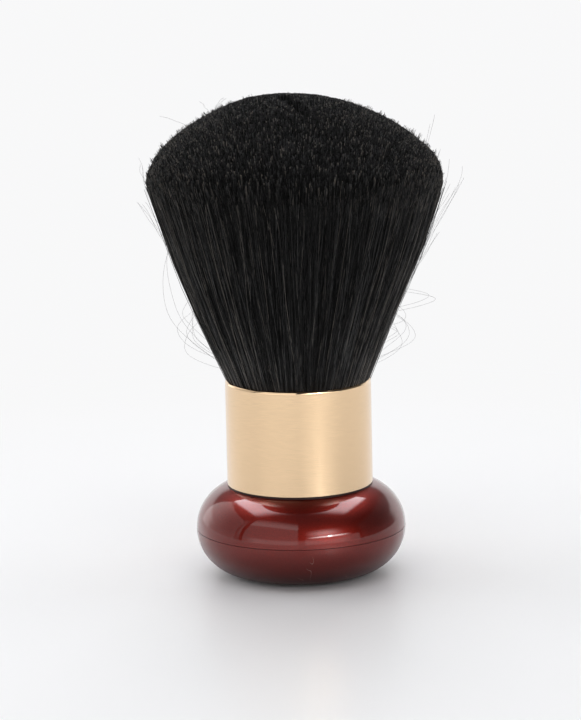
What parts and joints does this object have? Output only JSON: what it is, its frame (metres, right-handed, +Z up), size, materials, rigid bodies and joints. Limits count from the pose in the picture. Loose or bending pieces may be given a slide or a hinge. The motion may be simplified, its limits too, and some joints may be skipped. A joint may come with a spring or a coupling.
{
  "type": "neck duster brush",
  "caption": "Free-standing neck duster brush: domed tuft of soft dark hair in a pale gold metal ferrule on a weighted, glossy round base.",
  "frame": {"origin": "centre of the face that stands on the table, on the brush's axis", "axes": "+Z up along the brush's axis, from the foot to the crown of the hair; +Y away from the viewer of the front"},
  "size_m": [0.087, 0.087, 0.1428],
  "materials": {
    "pad_foam": "matt closed-cell foam",
    "base_gloss": "high-gloss pearlescent maroon lacquer",
    "weight_iron": "as cast",
    "spring_steel": "phosphated",
    "screw_steel": "zinc plated",
    "cup_plastic": "moulded",
    "insert_brass": "machined",
    "ferrule_gold": "satin champagne-gold anodised",
    "resin": "cast",
    "twine": "waxed",
    "hair": "soft black hair, trimmed to a dome"
  },
  "bodies": {
    "root": {"foot_pad": "pad_foam", "lower_shell": "base_gloss", "upper_shell": "base_gloss", "ballast_weight": "weight_iron", "ballast_retainer": "spring_steel", "tie_screw": "screw_steel", "screw_washer": "screw_steel", "knot_cup": "cup_plastic", "threaded_insert": "insert_brass", "ferrule": "ferrule_gold", "root_resin": "resin", "root_binding": "twine", "hair_tuft": "hair"}
  },
  "joints": []
}
